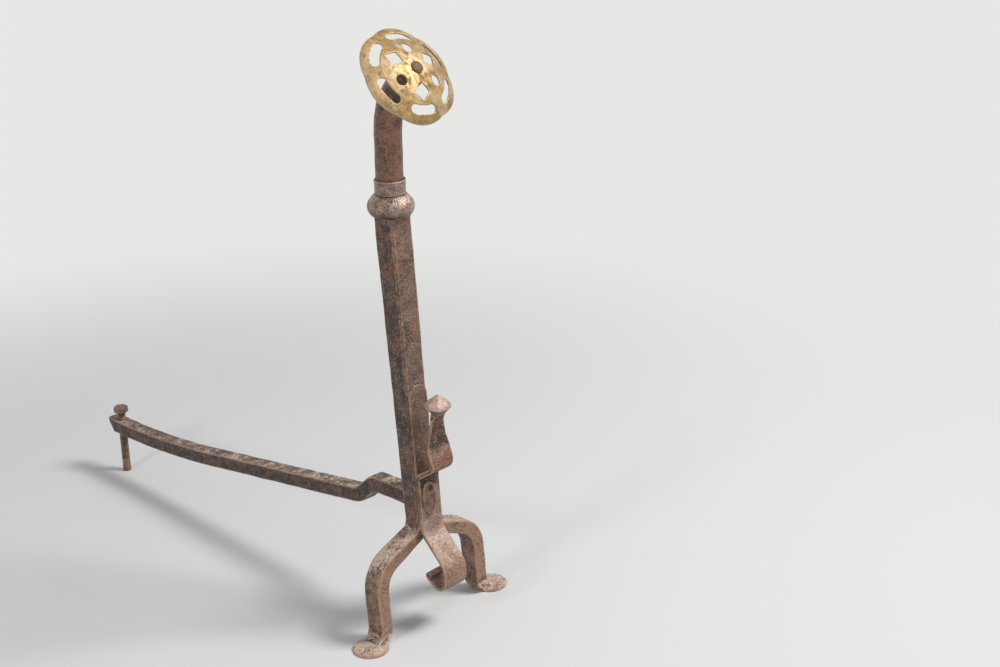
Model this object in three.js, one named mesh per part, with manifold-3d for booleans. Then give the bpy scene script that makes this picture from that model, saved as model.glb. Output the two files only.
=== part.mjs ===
// A forged iron andiron with a pierced brass disc at its head, in millimetres, +Z up.
// Front, with the hook, the scroll and the face of the disc, looks along -Y.
// The bar that carries the logs runs back along +Y to a levelling bolt.
// X is across the hearth, and the floor is z = 0.

import * as THREE from 'three';
import { mergeVertices } from 'three/addons/utils/BufferGeometryUtils.js';
import Module from 'manifold-3d';

const wasm = await Module();
wasm.setup();

// ---------------------------------------------------------------- driving dimensions

// Clearances between pieces
const SEAT_GAP = 0.3;              // between a piece and what it is riveted or shrunk on
const RUNNING_GAP = 0.4;           // round the levelling bolt, on the radius

// Upright post: a tapered square bar, leaning back a little
const POST_FOOT_HEIGHT = 100;      // where the post ends and the legs spread
const POST_TOP_HEIGHT = 396.5;     // face that the collar ring stands on
const POST_WIDTH = 25.4;
const POST_FOOT_DEPTH = 20.6;
const POST_TOP_DEPTH = 25.3;
const POST_LEAN = 0.0797;          // how far back it goes for each millimetre up
const POST_CORNER = 2.2;           // forged flat on each long edge
const LIP_HEIGHT = 2.2;            // thin square lip at the top of the post
const LIP_PROUD = 0.7;

// Legs: the foot of the bar split in two and spread, each ending in a penny foot
const LEG_SPREAD = 64.5;           // centre of a leg's upright run, from the middle
const LEG_CROTCH_THICKNESS = 12.2; // just past the first bend, where the iron is drawn
const LEG_SLOPE_THICKNESS = 14.6;
const LEG_THICKNESS = 14.4;
const LEG_CORNER = 1.2;
const LEG_CROTCH_RADIUS = 10.5;    // on the centre line
const LEG_SHOULDER_RADIUS = 29.5;  // on the centre line
const LEG_SLOPE = 21;              // degrees that the shoulder falls
const PENNY_LENGTH = 36;           // away from the leg
const PENNY_WIDTH = 35;
const PENNY_RIM = 3.2;             // thickness at the edge
const PENNY_CROWN = 5.2;           // thickness in the middle
const PENNY_OUT = 16.9;            // centre of the penny, outside the leg's centre
const PENNY_FORWARD = 3;           // centre of the penny, in front of the leg's centre
const ANKLE_HEIGHT = 14;
const ANKLE_REACH = 9.6;
const ANKLE = [                    // share of the height, then of the reach inside and outside
  [1, 0, 0],
  [0.64, 0.1, 0.21],
  [0.39, 0.31, 0.55],
  [0.21, 0.58, 0.86],
  [0, 1, 0.86],
];

// Billet bar: the long bar for the logs, with a crank behind the post
const BAR_HEIGHT = 121.9;          // centre line where it leaves the post
const BAR_WIDTH = 16.4;
const BAR_TIP_WIDTH = 14;
const BAR_THICKNESS = 16;
const BAR_TIP_THICKNESS = 5;
const BAR_TIP_RUN = 11;            // the end is bevelled from below over this length
const BAR_CORNER = 1.3;
const BAR_FIRST_RUN = 42;          // level, from the back of the post
const BAR_CRANK_RADIUS = 11;
const BAR_CRANK_FALL = 43;         // degrees
const BAR_CRANK_RUN = 17.6;
const BAR_HEEL_RADIUS = 20;
const BAR_SLOPE = 8.2;             // degrees down, after the crank
const BAR_STRAIGHT_RUN = 237.5;
const BAR_SAG_RADIUS = 1100;       // the tail curves gently back towards level
const BAR_TAIL_TURN = 9.2;         // degrees, over the sagging tail
const BOLT_FROM_END = 17.6;        // bolt centre from the end of the bar
const TENON_WIDTH = 12.6;
const TENON_HEIGHT = 12.4;
const TENON_HEAD_WIDTH = 13.4;     // riveted over in a tall slot of the strap
const TENON_HEAD_HEIGHT = 33;
const TENON_HEAD_PROUD = 2.6;
const TENON_HEAD_DROP = 0.6;       // centre of the head above the tenon's centre

// Front strap: hook above, scroll below, one flat bar riveted on the post
const STRAP_WIDTH = 26.8;
const STRAP_THICKNESS = 5.3;
const STRAP_CORNER = 0.8;
const HOOK_FOOT_HEIGHT = 148;      // height where the hook turns off the post
const HOOK_LOWER_RADIUS = 5.5;
const HOOK_LOWER_TURN = 61;        // degrees
const HOOK_SHELF_RUN = 16.5;
const HOOK_UPPER_RADIUS = 9;
const HOOK_STEM_LEAN = 4;          // degrees back from upright
const HOOK_STEM_RUN = 47;
const HOOK_SHELF_WIDTH = 26.8;
const HOOK_STEM_WIDTH = 27.4;      // widest, just above the bend
const HOOK_SHELF_THICKNESS = 5;
const HOOK_STEM_THICKNESS = 4.8;
const HOOK_NECK_THICKNESS = 8.4;   // of the hook, under its knob
const STEM_PARTS = [               // share of the stem's run, share of its widest width
  [0.3, 0.876],
  [0.25, 0.606],
  [0.3, 0.46],
  [0.15, 0.453],
];
const SCROLL_TOP_HEIGHT = 100;     // height where the strap bows forward
const SCROLL_WIDTH = 29;
const SCROLL_THICKNESS = 3.5;
const SCROLL_TIP_THICKNESS = 2.6;
const SCROLL_LEAVING_RADIUS = 14;
const SCROLL_BOW_RUN = 26;
const SCROLL_KNEE_RADIUS = 22;
const SCROLL_DROP_RUN = 4.7;
const SCROLL_CURL_RADIUS = 9.5;
const SCROLL_BACK_RADIUS = 36;
const SCROLL_FOLD_RADIUS = 2.4;
const SCROLL_TIP_RUN = 4.5;
const SCROLL = [                   // bends and straight runs, down and round under itself
  { radius: SCROLL_LEAVING_RADIUS, turn: -42 },
  { run: SCROLL_BOW_RUN },
  { radius: SCROLL_KNEE_RADIUS, turn: 46 },
  { run: SCROLL_DROP_RUN },
  { radius: SCROLL_CURL_RADIUS, turn: 115 },
  { radius: SCROLL_BACK_RADIUS, turn: 20 },
  { radius: SCROLL_FOLD_RADIUS, turn: 140 },
  { run: SCROLL_TIP_RUN },
];

// Faceted knob on top of the hook
const KNOB_RADIUS = 12.8;
const KNOB_SEAT_RADIUS = 6.6;
const KNOB_BELOW = 7.8;            // from the seat up to the widest part
const KNOB_ABOVE = 11;             // from there up to the point
const KNOB_FACETS = 8;

// Collar ring and sleeve, round the foot of the neck
const RING_HEIGHT = 19.5;
const RING_RADIUS = 21.7;
const RING_FOOT_RADIUS = 17.9;
const RING_TOP_RADIUS = 15.4;
const SLEEVE_HEIGHT = 14;
const SLEEVE_RADIUS = 14.2;
const SLEEVE_LIP = 0.5;            // rolled edge on top of the sleeve

// Neck: a round bar that stands on the post and bends forward to the disc
const NECK_RADIUS = 12.9;
const NECK_BACK = 0.9;             // its axis, behind the middle of the post's top
const NECK_UPRIGHT_SHARE = 0.541;  // of the height from post to disc: the straight run
const NECK_BEND_SHARE = 0.48;      // of the same height: the radius of the bend
const NECK_END_RADIUS = 8.6;       // dressed down where the disc seats
const NECK_END_TAPER = 9;          // length of that taper

// Brass disc: a thin domed shell with six lobes, pierced, open at the back
const DISC_TILT = 38;              // degrees that its face looks up
const DISC_CROWN_HEIGHT = 534;     // centre of the front face, above the floor
const DISC_RADIUS = 47.4;
const DISC_DEPTH = 15;             // from the crown back to the widest part
const DISC_RETURN_DEPTH = 3;       // the rim turns back this much farther
const DISC_DOME_RADIUS = 80;
const DISC_WALL = 2;
const LOBES = 6;
const LOBE_DEPTH = 2.4;            // of the notches between them
const PIERCING_CLOCK = 79;         // degrees, direction of the first round hole
const HOLE_CIRCLE = 20.9;          // radius that the holes and diamonds lie on
const HOLE_RADIUS = 4.9;
const DIAMOND_TALL = 8.2;          // half diagonal along the radius
const DIAMOND_WIDE = 7.5;          // half diagonal across it
const SLOT_CIRCLE = 36;
const SLOT_WIDTH = 7.3;
const SLOT_SPAN = 30;              // degrees between the centres of its round ends

// Rivet through the middle of the disc
const RIVET_HEAD_RADIUS = 5.9;
const RIVET_HEAD_HEIGHT = 2.4;
const RIVET_SHANK_RADIUS = 3.2;
const RIVET_DEPTH = 12;            // how far the shank goes into the neck

// Levelling bolt in the tail of the bar: hexagon head, three-eighths shank
const BOLT_SHANK_RADIUS = 4.6;
const BOLT_HEAD_ACROSS_FLATS = 14.2;
const BOLT_HEAD_HEIGHT = 6.6;
const BOLT_HEAD_CLEAR = 9;         // daylight under the head at rest
const BOLT_POINT = 1.2;            // chamfer at the tip

// How finely round shapes are cut into flats
const ARC_STEP = 12;               // degrees along a bend
const ROUND_SIDES = 32;
const NECK_SIDES = 16;
const DISC_SIDES = 60;

// ---------------------------------------------------------------- finishes

const wroughtIron = { color: 0x6b5a50, roughness: 0.62, metalness: 0.75 };
const agedBrass = { color: 0xb59a5e, roughness: 0.42, metalness: 0.9 };
const rivetIron = { color: 0x8c6a60, roughness: 0.5, metalness: 0.75 };
const boltSteel = { color: 0x73655c, roughness: 0.6, metalness: 0.8 };

// ---------------------------------------------------------------- helpers

const radians = THREE.MathUtils.degToRad;
const acrossHearth = new THREE.Vector3(1, 0, 0);

// The post's faces are planes, so its front, back and middle are straight in z.
const postDepthAt = (z) => {
  const up = (z - POST_FOOT_HEIGHT) / (POST_TOP_HEIGHT - POST_FOOT_HEIGHT);
  return THREE.MathUtils.lerp(POST_FOOT_DEPTH, POST_TOP_DEPTH, up);
};
const postMiddleAt = (z) => POST_LEAN * (z - POST_FOOT_HEIGHT);
const postFrontAt = (z) => postMiddleAt(z) - postDepthAt(z) / 2;
const postBackAt = (z) => postMiddleAt(z) + postDepthAt(z) / 2;
const frontSlope = postFrontAt(1) - postFrontAt(0);
const backSlope = postBackAt(1) - postBackAt(0);

// A closed solid through a row of sections with the same number of points.
// A station has an origin, two directions, and its section in those directions.
function loft(stations) {
  const sides = stations[0].section.length;
  const positions = [];
  for (const { origin, across, through, section } of stations) {
    for (const [a, b] of section) {
      const point = origin.clone().addScaledVector(across, a).addScaledVector(through, b);
      positions.push(point.x, point.y, point.z);
    }
  }
  const index = [];
  for (let ring = 0; ring + 1 < stations.length; ring += 1) {
    for (let side = 0; side < sides; side += 1) {
      const next = (side + 1) % sides;
      const a = ring * sides + side;
      const b = ring * sides + next;
      index.push(a, b, b + sides, a, b + sides, a + sides);
    }
  }
  const last = (stations.length - 1) * sides;
  for (let side = 1; side + 1 < sides; side += 1) {
    index.push(0, side + 1, side);
    index.push(last, last + side, last + side + 1);
  }
  return facingOut(solidGeometry(positions, index));
}

function solidGeometry(positions, index) {
  const geometry = new THREE.BufferGeometry();
  geometry.setAttribute('position', new THREE.Float32BufferAttribute(positions, 3));
  geometry.setIndex(index);
  return geometry;
}

// Turns every face round when the solid is inside out.
function facingOut(geometry) {
  const corners = geometry.attributes.position;
  const index = geometry.index.array;
  const a = new THREE.Vector3();
  const b = new THREE.Vector3();
  const c = new THREE.Vector3();
  let volume = 0;
  for (let face = 0; face < index.length; face += 3) {
    a.fromBufferAttribute(corners, index[face]);
    b.fromBufferAttribute(corners, index[face + 1]);
    c.fromBufferAttribute(corners, index[face + 2]);
    volume += a.dot(b.cross(c));
  }
  if (volume < 0) {
    for (let face = 0; face < index.length; face += 3) {
      [index[face], index[face + 1]] = [index[face + 1], index[face]];
    }
  }
  return geometry;
}

// A rectangle with a small flat on each corner
function squareSection(width, thickness, corner) {
  const a = width / 2;
  const b = thickness / 2;
  return [
    [a, b - corner],
    [a - corner, b],
    [corner - a, b],
    [-a, b - corner],
    [-a, corner - b],
    [corner - a, -b],
    [a - corner, -b],
    [a, corner - b],
  ];
}

function roundSection(radius, sides) {
  return Array.from({ length: sides }, (_, side) => {
    const angle = (2 * Math.PI * (side + 0.5)) / sides;
    return [radius * Math.cos(angle), radius * Math.sin(angle)];
  });
}

// A tall slot or rivet head with round ends
function oblongSection(width, height) {
  const radius = width / 2;
  const straight = height / 2 - radius;
  const half = 8;
  const points = [];
  for (const end of [1, -1]) {
    for (let step = 0; step <= half; step += 1) {
      const angle = (Math.PI * step) / half;
      points.push([
        end * radius * Math.cos(angle),
        end * (straight + radius * Math.sin(angle)),
      ]);
    }
  }
  return points;
}

// The way a smith would bend a bar in one plane: straight runs and bends in turn.
// A heading is in degrees, and a turn to the left of the heading is positive.
function bendBar(start, heading, moves) {
  const path = [{ u: start[0], v: start[1], heading, along: 0 }];
  let here = path[0];
  const advance = (length, turn) => {
    const middle = radians(here.heading + turn / 2);
    here = {
      u: here.u + length * Math.cos(middle),
      v: here.v + length * Math.sin(middle),
      heading: here.heading + turn,
      along: here.along + length,
    };
    path.push(here);
  };
  for (const { run, radius, turn } of moves) {
    if (run !== undefined) {
      advance(run, 0);
    } else {
      const steps = Math.max(2, Math.ceil(Math.abs(turn) / ARC_STEP));
      const chord = 2 * radius * Math.sin(radians(Math.abs(turn) / steps / 2));
      for (let step = 0; step < steps; step += 1) {
        advance(chord, turn / steps);
      }
    }
  }
  return path;
}

// Reads a size that changes along a piece from its stops, [along, size]
function sizeAlong(stops, along) {
  if (along <= stops[0][0]) {
    return stops[0][1];
  }
  for (let stop = 1; stop < stops.length; stop += 1) {
    const [end, size] = stops[stop];
    const [begin, before] = stops[stop - 1];
    if (along <= end) {
      return THREE.MathUtils.mapLinear(along, begin, end, before, size);
    }
  }
  return stops[stops.length - 1][1];
}

const lastOf = (path) => path[path.length - 1];

// A station on a bar that is bent in the plane of Y and Z
function stationInSideView({ u, v, heading }, section) {
  const angle = radians(heading);
  return {
    origin: new THREE.Vector3(0, u, v),
    across: acrossHearth,
    through: new THREE.Vector3(0, -Math.sin(angle), Math.cos(angle)),
    section,
  };
}

function asManifold(geometry) {
  const bare = geometry.clone();
  bare.deleteAttribute('normal');
  bare.deleteAttribute('uv');
  const merged = mergeVertices(bare, 1e-4);
  return new wasm.Manifold(new wasm.Mesh({
    numProp: 3,
    vertProperties: new Float32Array(merged.attributes.position.array),
    triVerts: new Uint32Array(merged.index.array),
  }));
}

function asGeometry(manifold) {
  const mesh = manifold.getMesh();
  return solidGeometry(Array.from(mesh.vertProperties), Array.from(mesh.triVerts));
}

function cut(geometry, cutters) {
  let solid = asManifold(geometry);
  for (const cutter of cutters) {
    solid = solid.subtract(asManifold(cutter));
  }
  return asGeometry(solid);
}

function join(geometries) {
  const [first, ...others] = geometries.map(asManifold);
  return asGeometry(others.reduce((solid, other) => solid.add(other), first));
}

const andiron = new THREE.Group();

function addPiece(parent, name, geometry, finish) {
  const flat = geometry.index ? geometry.toNonIndexed() : geometry;
  flat.computeVertexNormals();
  const mesh = new THREE.Mesh(flat, new THREE.MeshStandardMaterial(finish));
  mesh.name = name;
  parent.add(mesh);
  return mesh;
}

// ---------------------------------------------------------------- upright post

function postStation(z, proud) {
  return {
    origin: new THREE.Vector3(0, postMiddleAt(z), z),
    across: acrossHearth,
    through: new THREE.Vector3(0, 1, 0),
    section: squareSection(
      POST_WIDTH + 2 * proud,
      postDepthAt(z) + 2 * proud,
      POST_CORNER,
    ),
  };
}

function makePost() {
  const lipFoot = POST_TOP_HEIGHT - LIP_HEIGHT;
  const bar = loft([
    postStation(POST_FOOT_HEIGHT, 0),
    postStation(lipFoot, 0),
    postStation(lipFoot + LIP_PROUD, LIP_PROUD),
    postStation(POST_TOP_HEIGHT, LIP_PROUD),
  ]);
  const mortise = new THREE.BoxGeometry(
    TENON_WIDTH + 2 * SEAT_GAP,
    3 * POST_FOOT_DEPTH,
    TENON_HEIGHT + 2 * SEAT_GAP,
  );
  mortise.translate(0, postMiddleAt(BAR_HEIGHT), BAR_HEIGHT);
  return cut(bar, [mortise]);
}

addPiece(andiron, 'upright_post', makePost(), wroughtIron);

// ---------------------------------------------------------------- legs and penny feet

// Path of the right leg, u outward and v up, from the foot of the post to the floor
function legPath() {
  const turn = 90 - LEG_SLOPE;
  const topCentre = POST_WIDTH / 4 + SEAT_GAP / 4;
  const bendOut = LEG_CROTCH_RADIUS * (1 - Math.cos(radians(turn)));
  const shoulderOut = LEG_SHOULDER_RADIUS * (1 - Math.sin(radians(LEG_SLOPE)));
  const slopeOut = LEG_SPREAD - topCentre - bendOut - shoulderOut;
  const path = bendBar([topCentre, POST_FOOT_HEIGHT], -90, [
    { radius: LEG_CROTCH_RADIUS, turn },
    { run: slopeOut / Math.cos(radians(LEG_SLOPE)) },
    { radius: LEG_SHOULDER_RADIUS, turn: -turn },
  ]);
  return path;
}

function legStation({ u, v, heading }, thickness) {
  const angle = radians(heading);
  return {
    origin: new THREE.Vector3(u, postMiddleAt(v), v),
    across: new THREE.Vector3(-Math.sin(angle), 0, Math.cos(angle)),
    through: new THREE.Vector3(0, 1, 0),
    section: squareSection(thickness, POST_FOOT_DEPTH, LEG_CORNER),
  };
}

// A round, slightly domed plate of beaten iron, flat underneath
function pennyFoot() {
  const crown = new THREE.LatheGeometry(
    [
      new THREE.Vector2(0, 0),
      new THREE.Vector2(0.96, 0),
      new THREE.Vector2(1, 0.25 * PENNY_RIM),
      new THREE.Vector2(0.98, 0.8 * PENNY_RIM),
      new THREE.Vector2(0.92, PENNY_RIM),
      new THREE.Vector2(0.45, PENNY_CROWN),
      new THREE.Vector2(0, PENNY_CROWN),
    ],
    ROUND_SIDES,
  );
  crown.rotateX(Math.PI / 2);
  crown.scale(PENNY_LENGTH / 2, PENNY_WIDTH / 2, 1);
  const ankleMiddle = postMiddleAt(PENNY_CROWN);
  crown.translate(LEG_SPREAD + PENNY_OUT, ankleMiddle - PENNY_FORWARD, 0);
  return crown;
}

function makeRightLeg() {
  const path = legPath();
  const knee = lastOf(path);
  const topThickness = POST_WIDTH / 2 - SEAT_GAP / 2;
  const crotchEnd = path[Math.ceil((90 - LEG_SLOPE) / ARC_STEP)].along;
  const stops = [
    [0, topThickness],
    [crotchEnd, LEG_CROTCH_THICKNESS],
    [(crotchEnd + knee.along) / 2, LEG_SLOPE_THICKNESS],
    [knee.along, LEG_THICKNESS],
  ];
  const stations = path.map((step) => legStation(step, sizeAlong(stops, step.along)));
  for (const [up, inside, outside] of ANKLE) {
    const middle = LEG_SPREAD + (ANKLE_REACH * (inside + outside)) / 2;
    const here = { u: middle, v: up * ANKLE_HEIGHT, heading: -90 };
    stations.push(legStation(here, LEG_THICKNESS + ANKLE_REACH * (outside - inside)));
  }
  return join([loft(stations), pennyFoot()]);
}

const rightLeg = makeRightLeg();
const leftLeg = facingOut(rightLeg.clone().scale(-1, 1, 1));
addPiece(andiron, 'right_leg', rightLeg, wroughtIron);
addPiece(andiron, 'left_leg', leftLeg, wroughtIron);

// ---------------------------------------------------------------- front strap

const strapCentreAt = (z) => postFrontAt(z) - SEAT_GAP - STRAP_THICKNESS / 2;
const faceHeading = 90 - THREE.MathUtils.radToDeg(Math.atan(frontSlope));

// Up the post, out along the shelf and up the stem. u is back, v is up.
function hookPath() {
  const shelfRise = faceHeading + HOOK_LOWER_TURN;
  const stemHeading = 90 - HOOK_STEM_LEAN;
  return bendBar([strapCentreAt(HOOK_FOOT_HEIGHT), HOOK_FOOT_HEIGHT], faceHeading, [
    { radius: HOOK_LOWER_RADIUS, turn: HOOK_LOWER_TURN },
    { run: HOOK_SHELF_RUN },
    { radius: HOOK_UPPER_RADIUS, turn: stemHeading - shelfRise },
    ...STEM_PARTS.map(([share]) => ({ run: share * HOOK_STEM_RUN })),
  ]);
}

// Down the post, forward in a bow and round under itself, to a folded tip
function scrollPath() {
  return bendBar([strapCentreAt(SCROLL_TOP_HEIGHT), SCROLL_TOP_HEIGHT], faceHeading - 180, SCROLL);
}

function makeStrap() {
  const up = hookPath();
  const top = lastOf(up).along;
  const stemFoot = top - HOOK_STEM_RUN;
  const widthUp = [
    [0, STRAP_WIDTH],
    [stemFoot - HOOK_UPPER_RADIUS, HOOK_SHELF_WIDTH],
    [stemFoot, HOOK_STEM_WIDTH],
    ...up.slice(-STEM_PARTS.length).map(({ along }, part) => (
      [along, STEM_PARTS[part][1] * HOOK_STEM_WIDTH]
    )),
  ];
  const thicknessUp = [
    [0, STRAP_THICKNESS],
    [stemFoot - HOOK_UPPER_RADIUS, HOOK_SHELF_THICKNESS],
    [stemFoot, HOOK_STEM_THICKNESS],
    [up[up.length - 2].along, HOOK_STEM_THICKNESS],
    [top, HOOK_NECK_THICKNESS],
  ];
  const down = scrollPath();
  const tip = lastOf(down).along;
  const widthDown = [
    [0, STRAP_WIDTH],
    [tip * 0.45, SCROLL_WIDTH],
    [tip, SCROLL_WIDTH],
  ];
  const thicknessDown = [
    [0, STRAP_THICKNESS],
    [tip * 0.35, SCROLL_THICKNESS],
    [tip * 0.75, SCROLL_THICKNESS],
    [tip, SCROLL_TIP_THICKNESS],
  ];
  const rising = up.map((step) => {
    const width = sizeAlong(widthUp, step.along);
    const thickness = sizeAlong(thicknessUp, step.along);
    return stationInSideView(step, squareSection(width, thickness, STRAP_CORNER));
  });
  const topStation = rising[rising.length - 1];
  topStation.through = new THREE.Vector3(0, -1, 0);
  const falling = down.map((step) => {
    const width = sizeAlong(widthDown, step.along);
    const thickness = sizeAlong(thicknessDown, step.along);
    const turned = { ...step, heading: step.heading + 180 };
    return stationInSideView(turned, squareSection(width, thickness, STRAP_CORNER));
  });
  const bar = loft([...rising.reverse(), ...falling]);
  const slot = tenonHeadLoft(SEAT_GAP, [
    [SEAT_GAP, 1],
    [-STRAP_THICKNESS - 3 * SEAT_GAP, 1],
  ]);
  return cut(bar, [slot]);
}

// ---------------------------------------------------------------- billet bar

// The riveted head of the tenon, lying parallel to the front of the post.
// Each layer is [distance from the post's face, share of the full outline].
function tenonHeadLoft(grow, layers) {
  const middle = BAR_HEIGHT + TENON_HEAD_DROP;
  return loft(layers.map(([forward, share]) => ({
    origin: new THREE.Vector3(0, postFrontAt(middle) + forward, middle),
    across: acrossHearth,
    through: new THREE.Vector3(0, frontSlope, 1),
    section: oblongSection(
      share * TENON_HEAD_WIDTH + 2 * grow,
      share * TENON_HEAD_HEIGHT + 2 * grow,
    ),
  })));
}

addPiece(andiron, 'front_strap', makeStrap(), wroughtIron);

function barPath() {
  const start = postBackAt(BAR_HEIGHT) + SEAT_GAP;
  return bendBar([start, BAR_HEIGHT], 0, [
    { run: BAR_FIRST_RUN },
    { radius: BAR_CRANK_RADIUS, turn: -BAR_CRANK_FALL },
    { run: BAR_CRANK_RUN },
    { radius: BAR_HEEL_RADIUS, turn: BAR_CRANK_FALL - BAR_SLOPE },
    { run: BAR_STRAIGHT_RUN },
    { radius: BAR_SAG_RADIUS, turn: BAR_TAIL_TURN / 3 },
    { radius: BAR_SAG_RADIUS, turn: BAR_TAIL_TURN / 3 },
    { radius: BAR_SAG_RADIUS, turn: BAR_TAIL_TURN / 3 },
    { run: BAR_TIP_RUN },
  ]);
}

const barLine = barPath();
const barEnd = lastOf(barLine);
const tailSlope = Math.tan(radians(barEnd.heading));
const boltAt = barEnd.u - BOLT_FROM_END;
const barMiddleAtBolt = barEnd.v - BOLT_FROM_END * tailSlope;
const barTopAtBolt = barMiddleAtBolt + BAR_THICKNESS / 2;

function makeBar() {
  const bevel = barEnd.along - BAR_TIP_RUN;
  const width = [
    [bevel, BAR_WIDTH],
    [barEnd.along, BAR_TIP_WIDTH],
  ];
  const thickness = [
    [bevel, BAR_THICKNESS],
    [barEnd.along, BAR_TIP_THICKNESS],
  ];
  const stations = barLine.map((step) => stationInSideView(step, squareSection(
    sizeAlong(width, step.along),
    sizeAlong(thickness, step.along),
    BAR_CORNER,
  )));
  stations[0].through = new THREE.Vector3(0, backSlope, 1);
  stations[stations.length - 1].origin.z += (BAR_THICKNESS - BAR_TIP_THICKNESS) / 2;
  const tenonTip = postFrontAt(BAR_HEIGHT) - SEAT_GAP - STRAP_THICKNESS / 2;
  const tenon = new THREE.BoxGeometry(
    TENON_WIDTH,
    stations[0].origin.y - tenonTip + STRAP_THICKNESS,
    TENON_HEIGHT,
  );
  tenon.translate(0, (stations[0].origin.y + STRAP_THICKNESS + tenonTip) / 2, BAR_HEIGHT);
  const strapFace = -SEAT_GAP - STRAP_THICKNESS;
  const head = tenonHeadLoft(0, [
    [-SEAT_GAP, 1],
    [strapFace - 0.3 * TENON_HEAD_PROUD, 1],
    [strapFace - 0.8 * TENON_HEAD_PROUD, 0.88],
    [strapFace - TENON_HEAD_PROUD, 0.62],
  ]);
  const hole = new THREE.CylinderGeometry(
    BOLT_SHANK_RADIUS + RUNNING_GAP,
    BOLT_SHANK_RADIUS + RUNNING_GAP,
    4 * BAR_THICKNESS,
    ROUND_SIDES,
  );
  hole.rotateX(Math.PI / 2);
  hole.translate(0, boltAt, barMiddleAtBolt);
  return cut(join([loft(stations), tenon, head]), [hole]);
}

addPiece(andiron, 'billet_bar', makeBar(), wroughtIron);

// ---------------------------------------------------------------- hook knob

function makeKnob() {
  const profile = [
    [0, 0],
    [KNOB_SEAT_RADIUS, 0],
    [0.62 * KNOB_RADIUS, 0.28 * KNOB_BELOW],
    [0.97 * KNOB_RADIUS, 0.8 * KNOB_BELOW],
    [KNOB_RADIUS, KNOB_BELOW],
    [0.94 * KNOB_RADIUS, KNOB_BELOW + 0.25 * KNOB_ABOVE],
    [0.12 * KNOB_RADIUS, KNOB_BELOW + 0.97 * KNOB_ABOVE],
    [0, KNOB_BELOW + KNOB_ABOVE],
  ];
  const knob = new THREE.LatheGeometry(
    profile.map(([radius, height]) => new THREE.Vector2(radius, height)),
    KNOB_FACETS,
  );
  knob.rotateX(Math.PI / 2);
  return facingOut(knob);
}

const hookTop = lastOf(hookPath());
const knob = addPiece(andiron, 'hook_knob', makeKnob(), wroughtIron);
knob.position.set(0, hookTop.u, hookTop.v);

// ---------------------------------------------------------------- collar ring and sleeve

const neckAxisY = postMiddleAt(POST_TOP_HEIGHT) + NECK_BACK;
const boreRadius = NECK_RADIUS + SEAT_GAP;

function turned(profile) {
  const points = profile.map(([radius, height]) => new THREE.Vector2(radius, height));
  const geometry = new THREE.LatheGeometry([...points, points[0].clone()], ROUND_SIDES);
  geometry.rotateX(Math.PI / 2);
  return facingOut(geometry);
}

const ring = addPiece(andiron, 'collar_ring', turned([
  [boreRadius, 0],
  [RING_FOOT_RADIUS, 0],
  [0.94 * RING_RADIUS, 0.16 * RING_HEIGHT],
  [RING_RADIUS, 0.32 * RING_HEIGHT],
  [RING_RADIUS, 0.52 * RING_HEIGHT],
  [0.95 * RING_RADIUS, 0.68 * RING_HEIGHT],
  [RING_TOP_RADIUS, RING_HEIGHT],
  [boreRadius, RING_HEIGHT],
]), wroughtIron);
ring.position.set(0, neckAxisY, POST_TOP_HEIGHT);

const sleeve = addPiece(andiron, 'neck_sleeve', turned([
  [boreRadius, 0],
  [SLEEVE_RADIUS, 0],
  [SLEEVE_RADIUS, 0.78 * SLEEVE_HEIGHT],
  [SLEEVE_RADIUS + SLEEVE_LIP, 0.86 * SLEEVE_HEIGHT],
  [SLEEVE_RADIUS + SLEEVE_LIP, 0.94 * SLEEVE_HEIGHT],
  [SLEEVE_RADIUS, SLEEVE_HEIGHT],
  [boreRadius, SLEEVE_HEIGHT],
]), wroughtIron);
sleeve.position.set(0, neckAxisY, POST_TOP_HEIGHT + RING_HEIGHT);

// ---------------------------------------------------------------- disc, rivet and neck

// The head group stands at the middle of the disc's face, its +Z out of the face.
const discTurn = 90 - DISC_TILT;
const domeSagAt = (radius) => DISC_DOME_RADIUS - Math.sqrt(DISC_DOME_RADIUS ** 2 - radius ** 2);
const neckEndSeat = DISC_WALL + domeSagAt(NECK_END_RADIUS) + SEAT_GAP;

// The neck's last straight run is as long as it takes to reach the disc's height.
function neckPath() {
  const rise = DISC_CROWN_HEIGHT - POST_TOP_HEIGHT;
  const upright = { run: NECK_UPRIGHT_SHARE * rise };
  const bend = { radius: NECK_BEND_SHARE * rise, turn: discTurn };
  const bent = lastOf(bendBar([0, 0], 90, [upright, bend]));
  const endHeight = rise - neckEndSeat * Math.sin(radians(DISC_TILT));
  const lastRun = (endHeight - bent.v) / Math.sin(radians(DISC_TILT));
  return bendBar([0, 0], 90, [
    upright,
    bend,
    { run: lastRun - NECK_END_TAPER },
    { run: NECK_END_TAPER },
  ]);
}

const neckLine = neckPath();
const neckEnd = lastOf(neckLine);
const head = new THREE.Group();
head.position.set(
  0,
  neckAxisY + neckEnd.u - neckEndSeat * Math.cos(radians(DISC_TILT)),
  POST_TOP_HEIGHT + neckEnd.v + neckEndSeat * Math.sin(radians(DISC_TILT)),
);
head.rotation.x = radians(discTurn);
head.updateMatrix();
andiron.add(head);

function makeNeck() {
  const stations = neckLine.map((step, number) => {
    const radius = number + 1 < neckLine.length ? NECK_RADIUS : NECK_END_RADIUS;
    const section = roundSection(radius, NECK_SIDES);
    return stationInSideView(
      { ...step, u: step.u + neckAxisY, v: step.v + POST_TOP_HEIGHT, heading: step.heading - 90 },
      section,
    );
  });
  for (const station of stations) {
    station.through = new THREE.Vector3().crossVectors(station.through, acrossHearth);
  }
  const hole = new THREE.CylinderGeometry(
    RIVET_SHANK_RADIUS + SEAT_GAP,
    RIVET_SHANK_RADIUS + SEAT_GAP,
    2 * RIVET_DEPTH + 2 * SEAT_GAP,
    ROUND_SIDES,
  );
  hole.rotateX(Math.PI / 2);
  hole.translate(0, 0, -neckEndSeat);
  hole.applyMatrix4(head.matrix);
  return cut(loft(stations), [hole]);
}

addPiece(andiron, 'curved_neck', makeNeck(), wroughtIron);

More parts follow.
